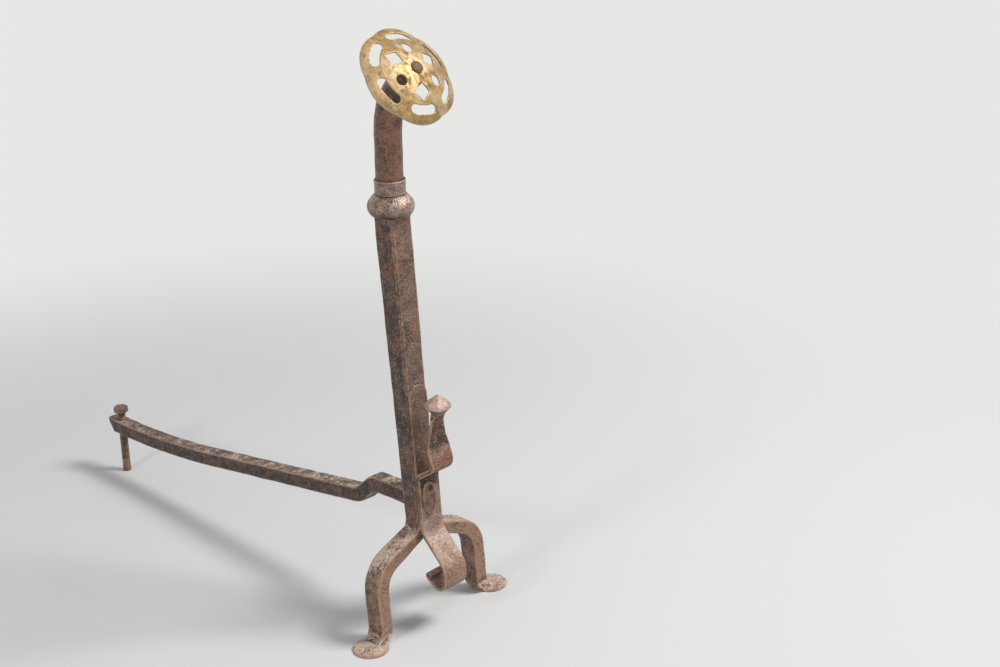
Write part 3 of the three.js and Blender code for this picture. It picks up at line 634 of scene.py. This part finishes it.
def use(tree, group, **sockets):
    names = {key.replace("_", " "): value for key, value in sockets.items()}
    return put(tree, "ShaderNodeGroup", {"node_tree": group}, **names).outputs


# %% Blotch and fine grain
blotch, give, take = effect(
    "Blotch", {"Vector": None, "Size": 0.02, "Cover": 0.5, "Softness": 0.1}, ["Mask"])
scale = calc(blotch, "DIVIDE", 1.0, give["Size"])
cloud = put(blotch, "ShaderNodeTexNoise", Vector=give["Vector"], Scale=scale, Detail=7.0,
            Roughness=0.62)
level = calc(blotch, "SUBTRACT", 1.0, give["Cover"])
middle = calc(blotch, "MULTIPLY_ADD", level, 0.5, 0.25)
node = put(blotch, "ShaderNodeMapRange", {"interpolation_type": "SMOOTHSTEP"},
           Value=cloud.outputs[0])
blotch.links.new(calc(blotch, "SUBTRACT", middle, give["Softness"]), node.inputs["From Min"])
blotch.links.new(calc(blotch, "ADD", middle, give["Softness"]), node.inputs["From Max"])
blotch.links.new(node.outputs[0], take["Mask"])

# %% Pits eaten by rust
pits, give, take = effect(
    "Pits", {"Vector": None, "Size": 0.0012, "Cover": 0.5}, ["Mask", "Height"])
scale = calc(pits, "DIVIDE", 1.0, give["Size"])
warp = put(pits, "ShaderNodeTexNoise", Vector=give["Vector"], Scale=900.0, Detail=2.0)
wander = put(pits, "ShaderNodeVectorMath", {"operation": "MULTIPLY_ADD"},
             _0=warp.outputs["Color"], _1=(0.0012, 0.0012, 0.0012), _2=give["Vector"])
cell = put(pits, "ShaderNodeTexVoronoi", {"feature": "F1"}, Vector=wander.outputs[0], Scale=scale)
patch = put(pits, "ShaderNodeTexNoise", Vector=give["Vector"], Scale=95.0, Detail=4.0)
spared = calc(pits, "SUBTRACT", 0.75, patch.outputs[0])
bite = calc(pits, "MULTIPLY", calc(pits, "SUBTRACT", give["Cover"], spared), 0.9)
depth = calc(pits, "SUBTRACT", bite, cell.outputs["Distance"])
mask = ramp(pits, depth, -0.05, 0.14)
pits.links.new(mask, take["Mask"])
pits.links.new(calc(pits, "MULTIPLY", mask, -1.0), take["Height"])

# %% Worn edges and hollows, also painted edge highlights and painted shade
edges, give, take = effect("Worn edges", {"Vector": None, "Start": 0.010, "Full": 0.026},
                           ["Edge", "Hollow"])
shape = edges.nodes.new("ShaderNodeNewGeometry")
breaks = put(edges, "ShaderNodeTexNoise", Vector=give["Vector"], Scale=240.0, Detail=6.0,
             Roughness=0.75)
uneven = calc(edges, "MULTIPLY_ADD", breaks.outputs[0], 0.034, -0.018)
lengths = put(edges, "ShaderNodeTexNoise", Vector=give["Vector"], Scale=48.0, Detail=3.0)
spared = calc(edges, "MULTIPLY_ADD", ramp(edges, lengths.outputs[0], 0.38, 0.56), 0.5, 0.5)
curve = calc(edges, "SUBTRACT", shape.outputs["Pointiness"], 0.5)
for sign, name, kept in ((1.0, "Edge", spared), (-1.5, "Hollow", 1.0)):
    bent = calc(edges, "MULTIPLY_ADD", curve, sign, calc(edges, "MINIMUM", uneven, 0.005))
    node = put(edges, "ShaderNodeMapRange", {"interpolation_type": "SMOOTHSTEP"}, Value=bent)
    edges.links.new(give["Start"], node.inputs["From Min"])
    edges.links.new(give["Full"], node.inputs["From Max"])
    edges.links.new(calc(edges, "MULTIPLY", node.outputs[0], kept), take[name])

# %% Which way a face looks
facing, give, take = effect("Facing", {}, ["Front", "Up", "Under"])
shape = facing.nodes.new("ShaderNodeNewGeometry")
axes = put(facing, "ShaderNodeSeparateXYZ", _0=shape.outputs["Normal"])
backward = calc(facing, "MULTIPLY", axes.outputs[1], -1.0)
downward = calc(facing, "MULTIPLY", axes.outputs[2], -1.0)
facing.links.new(ramp(facing, backward, 0.35, 0.85), take["Front"])
facing.links.new(ramp(facing, axes.outputs[2], 0.2, 0.8), take["Up"])
facing.links.new(ramp(facing, downward, 0.15, 0.7), take["Under"])

# %% Settled dust and ash, also painted light on top faces
dust_and_top_light, give, take = effect("Settled dust", {"Vector": None, "Up": 0.0, "Cover": 0.5}, ["Mask"])
speck = put(dust_and_top_light, "ShaderNodeTexNoise", Vector=give["Vector"], Scale=320.0, Detail=6.0,
            Roughness=0.72)
drift = put(dust_and_top_light, "ShaderNodeTexNoise", Vector=give["Vector"], Scale=70.0, Detail=4.0)
lying = calc(dust_and_top_light, "MULTIPLY", give["Up"], give["Cover"])
pile = calc(dust_and_top_light, "ADD", calc(dust_and_top_light, "MULTIPLY", speck.outputs[0], 0.6),
            calc(dust_and_top_light, "MULTIPLY", drift.outputs[0], 0.4))
loose = ramp(dust_and_top_light, calc(dust_and_top_light, "MULTIPLY_ADD", lying, 0.18, pile), 0.57, 0.69)
dust_and_top_light.links.new(calc(dust_and_top_light, "MULTIPLY", loose, ramp(dust_and_top_light, lying, 0.0, 0.3)), take["Mask"])

# %% A zone along one axis, with ragged ends
zone, give, take = effect(
    "Zone", {"Vector": None, "Along": 0.0, "Low": 0.0, "High": 0.1, "Ragged": 0.01}, ["Mask"])
wander = put(zone, "ShaderNodeTexNoise", Vector=give["Vector"], Scale=110.0, Detail=6.0,
             Roughness=0.65)
strayed = calc(zone, "MULTIPLY_ADD", calc(zone, "SUBTRACT", wander.outputs[0], 0.5),
               calc(zone, "MULTIPLY", give["Ragged"], 4.0), give["Along"])
inside = 1.0
for sign, bound in ((1.0, "Low"), (-1.0, "High")):
    past = calc(zone, "MULTIPLY", calc(zone, "SUBTRACT", strayed, give[bound]), sign)
    step = calc(zone, "DIVIDE", past, give["Ragged"])
    inside = calc(zone, "MULTIPLY", ramp(zone, step, -0.5, 0.5), inside)
zone.links.new(inside, take["Mask"])
print("shader groups:", [group.name for group in bpy.data.node_groups])

# %% [markdown]
# ## Forged iron
# Old iron kept dry indoors wears a thin dark film, mottled at every scale, and painted lighter and
# warmer on faces that look forward, as painted light from the key. Orange rust shows through in
# patches, and edges are rubbed to a pale tan that also stands for the highlights the edges catch.
# Hollows and undersides are darkened with the soot colour as painted shade, and pale ash sits on
# whatever faces up, which also paints the light on top faces. One function lays these on from
# the film outwards, and each piece has its own colours and zones. A zone is an axis, its low and
# high end, how ragged those are, a colour and a strength.

# %% The iron
SOOT_AND_SHADE = (34, 27, 24)
RUBBED_AND_EDGE_HIGHLIGHT = (190, 152, 124)
ASH_AND_TOP_LIGHT = (224, 198, 176)


def iron(name, dark, warm, rust=(140, 92, 64), pit_size=0.0014, pit_cover=0.62, rust_cover=0.35,
         dust_and_top_light_cover=0.6, speckle=0.7, painted_front_light=0.35, wear=0.8, under_shade=0.65, shine=0.32,
         polish=0.0, zones=()):
    material = bpy.data.materials.new(name)
    material.use_nodes = True
    tree = material.node_tree
    shader = tree.nodes["Principled BSDF"]
    place = put(tree, "ShaderNodeTexCoord").outputs["Object"]
    axes = put(tree, "ShaderNodeSeparateXYZ", _0=place).outputs
    looks = use(tree, facing)
    coarse = use(tree, blotch, Vector=place, Size=0.028, Cover=0.5, Softness=0.12)[0]
    middle = use(tree, blotch, Vector=place, Size=0.008, Cover=0.5, Softness=0.12)[0]
    fine = use(tree, blotch, Vector=place, Size=0.0024, Cover=0.5, Softness=0.14)[0]
    mottle = calc(tree, "MULTIPLY", calc(tree, "ADD", coarse, middle), 0.4)
    mottle = calc(tree, "MULTIPLY_ADD", fine, 0.34, calc(tree, "SUBTRACT", mottle, 0.14))
    # Painted light: faces that look forward are made lighter and warmer, as if lit by the key.
    mottle_and_front_light = calc(tree, "MULTIPLY_ADD", looks["Front"], painted_front_light, mottle, clamp=True)
    film = blend(tree, mottle_and_front_light, srgb(*dark), srgb(*warm))
    for axis, low, high, ragged, colour, strength in zones:
        band = use(tree, zone, Vector=place, Along=axes["XYZ".index(axis)], Low=low, High=high,
                   Ragged=ragged)[0]
        cover = calc(tree, "MULTIPLY_ADD", mottle_and_front_light, 1.15 * strength, 0.2 * strength, clamp=True)
        film = blend(tree, calc(tree, "MULTIPLY", band, cover), film, srgb(*colour))
    patches = use(tree, blotch, Vector=place, Size=0.016, Cover=rust_cover, Softness=0.05)[0]
    rusty = calc(tree, "MULTIPLY", patches, calc(tree, "MULTIPLY_ADD", fine, 0.45, 0.25))
    film = blend(tree, rusty, film, srgb(*rust))
    # Pale ash on faces that look up: settled dust, and partly painted light on top faces.
    dust_and_top_light_mask = use(tree, dust_and_top_light, Vector=place, Up=looks["Up"], Cover=dust_and_top_light_cover)[0]
    film = blend(tree, dust_and_top_light_mask, film, srgb(*ASH_AND_TOP_LIGHT))
    grains = use(tree, blotch, Vector=place, Size=0.0011, Cover=0.37, Softness=0.035)[0]
    gathered = calc(tree, "MULTIPLY_ADD", middle, 0.8 * speckle, 0.25 * speckle)
    flecks = calc(tree, "MULTIPLY", grains, gathered)
    film = blend(tree, flecks, film, srgb(*[min(226, 1.3 * level + 30) for level in warm]))
    pepper = use(tree, blotch, Vector=place, Size=0.0016, Cover=0.46, Softness=0.06)[0]
    film = blend(tree, calc(tree, "MULTIPLY", pepper, 0.34), film, srgb(*SOOT_AND_SHADE))
    eaten = use(tree, pits, Vector=place, Size=pit_size, Cover=pit_cover)
    film = blend(tree, calc(tree, "MULTIPLY", eaten["Mask"], 0.85), film, srgb(*SOOT_AND_SHADE))
    worn = use(tree, edges, Vector=place)
    # Painted shade: faces that look down are darkened with the soot colour.
    film = blend(tree, calc(tree, "MULTIPLY", looks["Under"], under_shade), film, srgb(*SOOT_AND_SHADE))
    # Painted shade: creases and hollows are darkened with the soot colour.
    film = blend(tree, calc(tree, "MULTIPLY", worn["Hollow"], 0.65), film, srgb(*SOOT_AND_SHADE))
    # Rubbed edges, pale tan, which also paint the highlights that edges catch.
    film = blend(tree, calc(tree, "MULTIPLY", worn["Edge"], wear), film, srgb(*RUBBED_AND_EDGE_HIGHLIGHT))
    tree.links.new(film, shader.inputs["Base Color"])
    matt = calc(tree, "MAXIMUM", calc(tree, "MAXIMUM", rusty, dust_and_top_light_mask), eaten["Mask"])
    rough = calc(tree, "MULTIPLY_ADD", fine, 0.14, 0.36 - polish)
    rough = calc(tree, "MULTIPLY_ADD", matt, 0.3, rough)
    tree.links.new(rough, shader.inputs["Roughness"])
    metal = calc(tree, "MULTIPLY_ADD", matt, -shine, shine, clamp=True)
    tree.links.new(metal, shader.inputs["Metallic"])
    grit = put(tree, "ShaderNodeTexNoise", Vector=place, Scale=1000.0, Detail=5.0, Roughness=0.75)
    rise = calc(tree, "MULTIPLY", grit.outputs[0], 0.7)
    rise = calc(tree, "MULTIPLY_ADD", eaten["Height"], 0.9, rise)
    rise = calc(tree, "MULTIPLY_ADD", fine, 0.3, rise)
    relief = put(tree, "ShaderNodeBump", Height=rise, Strength=0.9, Distance=0.0006)
    tree.links.new(relief.outputs[0], shader.inputs["Normal"])
    return material


post_iron = iron(
    "post iron", dark=(54, 45, 43), warm=(136, 108, 92), rust_cover=0.36, dust_and_top_light_cover=1.0,
    painted_front_light=0.5,
    zones=[("Z", 0.011, 0.088, 0.012, (176, 140, 114), 0.9),
           ("Z", -0.1, 0.011, 0.003, (246, 220, 196), 1.6)],
)
strap_iron = iron(
    "strap iron", dark=(92, 72, 62), warm=(160, 128, 109), rust_cover=0.4, pit_cover=0.5,
    zones=[("Z", 0.0, 0.108, 0.006, (182, 158, 146), 0.95),
           ("Z", 0.0, 0.076, 0.008, (168, 130, 106), 0.8),
           # The band from 0.140 to 0.1515 is a painted shadow under the hook's bottom lip; the band
           # from 0.186 to 0.23 darkens the hook's stem.
           ("Z", 0.140, 0.1515, 0.002, (44, 33, 28), 1.3),
           ("Z", 0.1515, 0.176, 0.006, (146, 94, 68), 0.9),
           ("Z", 0.186, 0.23, 0.007, (62, 43, 34), 1.3)],
)
bar_iron = iron(
    "bar iron", dark=(48, 39, 36), warm=(112, 92, 82), rust_cover=0.36, dust_and_top_light_cover=0.6,
    painted_front_light=0.0, zones=[("Y", -0.3, -0.243, 0.002, (158, 116, 90), 0.9)],
)
knob_iron = iron(
    "knob iron", dark=(164, 132, 114), warm=(220, 192, 176), pit_cover=0.4, rust_cover=0.3,
    dust_and_top_light_cover=0.3, speckle=0.2, polish=0.08, shine=0.4,
)
neck_iron = iron(
    "neck iron", dark=(50, 35, 29), warm=(146, 108, 88), pit_cover=0.36, rust_cover=0.38,
    speckle=0.25, polish=0.12, shine=0.45,
)
ring_iron = iron(
    "ring iron", dark=(106, 82, 71), warm=(194, 166, 152), pit_cover=0.34, rust_cover=0.28,
    dust_and_top_light_cover=0.2, speckle=0.2, shine=0.6, polish=0.16,
)
sleeve_iron = iron(
    "sleeve iron", dark=(96, 75, 66), warm=(178, 150, 138), pit_cover=0.36, rust_cover=0.3,
    dust_and_top_light_cover=0.2, speckle=0.3, shine=0.55, polish=0.12,
)
bolt_iron = iron(
    "bolt iron", dark=(60, 47, 41), warm=(128, 102, 88), pit_size=0.0009, rust_cover=0.4,
    dust_and_top_light_cover=0.4, painted_front_light=0.1, wear=0.3,
)
rivet_iron = iron(
    "rivet iron", dark=(78, 54, 44), warm=(112, 80, 64), pit_cover=0.45, rust_cover=0.3,
    dust_and_top_light_cover=0.3, speckle=0.2, wear=0.4,
)

# %% [markdown]
# ## Aged brass
# Brass sheet that was once polished goes matt and straw-coloured, browner in the hollows and round
# the piercings, with paler worn rims and patches of greyish bloom. Its turned-down wall is made
# paler and greyer as a painted highlight. A warm base colour with much metal and a rough surface
# gives that, and blotches of tarnish break it up.

# %% The brass
def brass(name):
    material = bpy.data.materials.new(name)
    material.use_nodes = True
    tree = material.node_tree
    shader = tree.nodes["Principled BSDF"]
    place = put(tree, "ShaderNodeTexCoord").outputs["Object"]
    coarse = use(tree, blotch, Vector=place, Size=0.02, Cover=0.5, Softness=0.1)[0]
    fine = use(tree, blotch, Vector=place, Size=0.004, Cover=0.5, Softness=0.14)[0]
    metal = blend(tree, coarse, srgb(196, 162, 106), srgb(164, 132, 84))
    metal = blend(tree, calc(tree, "MULTIPLY", fine, 0.5), metal, srgb(124, 98, 66))
    looks = use(tree, facing)
    # Painted highlight: the turned-down wall, which looks neither forward nor up, is made paler and
    # greyer.
    wall = calc(tree, "SUBTRACT", 1.0, calc(tree, "MAXIMUM", looks["Front"], looks["Up"]))
    painted_wall_highlight = calc(tree, "MULTIPLY", wall, calc(tree, "MULTIPLY_ADD", fine, 0.5, 0.4))
    patch = use(tree, blotch, Vector=place, Size=0.014, Cover=0.38, Softness=0.08)[0]
    bloom_and_wall_highlight = calc(tree, "MAXIMUM", painted_wall_highlight, calc(tree, "MULTIPLY", patch, 0.45))
    metal = blend(tree, bloom_and_wall_highlight, metal, srgb(208, 192, 166))
    tarnish = use(tree, blotch, Vector=place, Size=0.008, Cover=0.36, Softness=0.07)[0]
    metal = blend(tree, calc(tree, "MULTIPLY", tarnish, 0.5), metal, srgb(122, 90, 52))
    eaten = use(tree, pits, Vector=place, Size=0.001, Cover=0.3)
    metal = blend(tree, calc(tree, "MULTIPLY", eaten["Mask"], 0.5), metal, srgb(76, 58, 38))
    worn = use(tree, edges, Vector=place, Start=0.004, Full=0.02)
    metal = blend(tree, calc(tree, "MULTIPLY", worn["Hollow"], 0.8), metal, srgb(70, 53, 34))
    metal = blend(tree, calc(tree, "MULTIPLY", worn["Edge"], 0.55), metal, srgb(218, 190, 142))
    tree.links.new(metal, shader.inputs["Base Color"])
    rough = calc(tree, "MULTIPLY_ADD", fine, 0.16, calc(tree, "MULTIPLY_ADD", tarnish, 0.2, 0.43))
    tree.links.new(rough, shader.inputs["Roughness"])
    shine = calc(tree, "MULTIPLY_ADD", calc(tree, "MAXIMUM", tarnish, bloom_and_wall_highlight), -0.3, 0.58)
    tree.links.new(shine, shader.inputs["Metallic"])
    grit = put(tree, "ShaderNodeTexNoise", Vector=place, Scale=600.0, Detail=6.0, Roughness=0.7)
    rise = calc(tree, "MULTIPLY_ADD", eaten["Height"], 0.5, grit.outputs[0])
    relief = put(tree, "ShaderNodeBump", Height=rise, Strength=0.5, Distance=0.0004)
    tree.links.new(relief.outputs[0], shader.inputs["Normal"])
    return material


old_brass = brass("old brass")

# %% [markdown]
# ## Dress the pieces
# Each piece is listed with its material, a slot name and the body that carries it. It takes the
# material and rides on the body: everything on the frame, except the bolt, which screws up and
# down.

# %% Materials, slots and bodies
dressed = [
    (post, post_iron, "wrought_iron", "frame"),
    (strap, strap_iron, "wrought_iron", "frame"),
    (bar, bar_iron, "wrought_iron", "frame"),
    (knob, knob_iron, "wrought_iron", "frame"),
    (ring, ring_iron, "wrought_iron", "frame"),
    (sleeve, sleeve_iron, "wrought_iron", "frame"),
    (neck, neck_iron, "wrought_iron", "frame"),
    (disc, old_brass, "aged_brass", "frame"),
    (rivet, rivet_iron, "rivet_iron", "frame"),
    (bolt, bolt_iron, "bolt_steel", "bolt"),
]
for piece, material, slot, body in dressed:
    piece.data.materials.clear()
    piece.data.materials.append(material)
    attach(piece, body)
    print(piece.name, "wears", material.name, "and rides on", body)

# %% [markdown]
# ## Floor, light and camera
# A flat pale floor, one broad softbox high on the right in front, a weaker one on the left for the
# sheen on round pieces, and an even pale sky. The paper near the object is lit and takes its
# shadow. Farther off it fades into an even pale tone that only the camera and reflections see, so
# that it doesn't go grey towards the top. The camera stands where the photographer stood.

# %% Floor
BACKDROP = (0.80, 0.80, 0.79, 1)
FADE_FROM, FADE_TO = 0.36, 1.15


def seen_by_eye(tree):
    """1 on rays that make a picture, straight or mirrored, and 0 on those that light things."""
    ray = put(tree, "ShaderNodeLightPath").outputs
    mirrored = calc(tree, "MAXIMUM", ray["Is Glossy Ray"], ray["Is Transmission Ray"])
    return calc(tree, "MAXIMUM", ray["Is Camera Ray"], mirrored)


nothing_selected()
bpy.ops.mesh.primitive_plane_add(size=14, location=(0, 0, 0))
floor = bpy.context.object
floor.name = "floor"
paper = bpy.data.materials.new("pale paper")
paper.use_nodes = True
tree = paper.node_tree
lit = tree.nodes["Principled BSDF"]
lit.inputs["Base Color"].default_value = (0.79, 0.785, 0.775, 1)
lit.inputs["Roughness"].default_value = 0.9
even = put(tree, "ShaderNodeEmission", Color=BACKDROP, Strength=1.0)
place = put(tree, "ShaderNodeTexCoord").outputs["Object"]
away = put(tree, "ShaderNodeVectorMath", {"operation": "LENGTH"}, _0=place).outputs["Value"]
fade = calc(tree, "MULTIPLY", ramp(tree, away, FADE_FROM, FADE_TO), seen_by_eye(tree))
mixed = put(tree, "ShaderNodeMixShader", _0=fade, _1=lit.outputs[0], _2=even.outputs[0])
tree.links.new(mixed.outputs[0], tree.nodes["Material Output"].inputs["Surface"])
floor.data.materials.append(paper)

# %% Light
world = bpy.context.scene.world or bpy.data.worlds.new("sky")
bpy.context.scene.world = world
world.use_nodes = True
tree = world.node_tree
sky = tree.nodes["Background"]
sky.inputs["Color"].default_value = (0.93, 0.95, 1.0, 1)
sky.inputs["Strength"].default_value = 0.34
pale_sky = put(tree, "ShaderNodeBackground", Color=BACKDROP, Strength=1.0)
mixed = put(tree, "ShaderNodeMixShader", _0=seen_by_eye(tree), _1=sky.outputs[0],
            _2=pale_sky.outputs[0])
tree.links.new(mixed.outputs[0], tree.nodes["World Output"].inputs["Surface"])


def softbox(name, place, size, power):
    lamp = bpy.data.lights.new(name, "AREA")
    lamp.size = size
    lamp.energy = power
    holder = bpy.data.objects.new(name, lamp)
    holder.location = place
    aim = Vector((0, -0.1, 0.25)) - Vector(place)
    holder.rotation_euler = aim.to_track_quat("-Z", "Y").to_euler()
    bpy.context.scene.collection.objects.link(holder)
    print(name, "at", place)


softbox("key", (0.9, -1.25, 2.0), 0.75, 37)
softbox("sheen", (-1.9, -0.3, 1.2), 0.35, 8)

# %% Camera
CAMERA_PLACE = (-0.94771, -1.21603, 0.80112)
CAMERA_HEADING = 0.82315
CAMERA_FALL = 0.36014
CAMERA_ROLL = -0.01658
FOCAL_SHARE = 1.60474
lens = bpy.data.cameras.new("camera")
lens.sensor_width = 36
lens.lens = FOCAL_SHARE * lens.sensor_width
lens.clip_start = 0.01
lens.clip_end = 40
camera = bpy.data.objects.new("camera", lens)
turn = (
    Matrix.Rotation(-CAMERA_HEADING, 4, "Z")
    @ Matrix.Rotation(math.pi / 2 - CAMERA_FALL, 4, "X")
    @ Matrix.Rotation(CAMERA_ROLL, 4, "Z")
)
camera.matrix_world = Matrix.Translation(CAMERA_PLACE) @ turn
bpy.context.scene.collection.objects.link(camera)
bpy.context.scene.camera = camera
bpy.context.scene.view_settings.view_transform = "Standard"
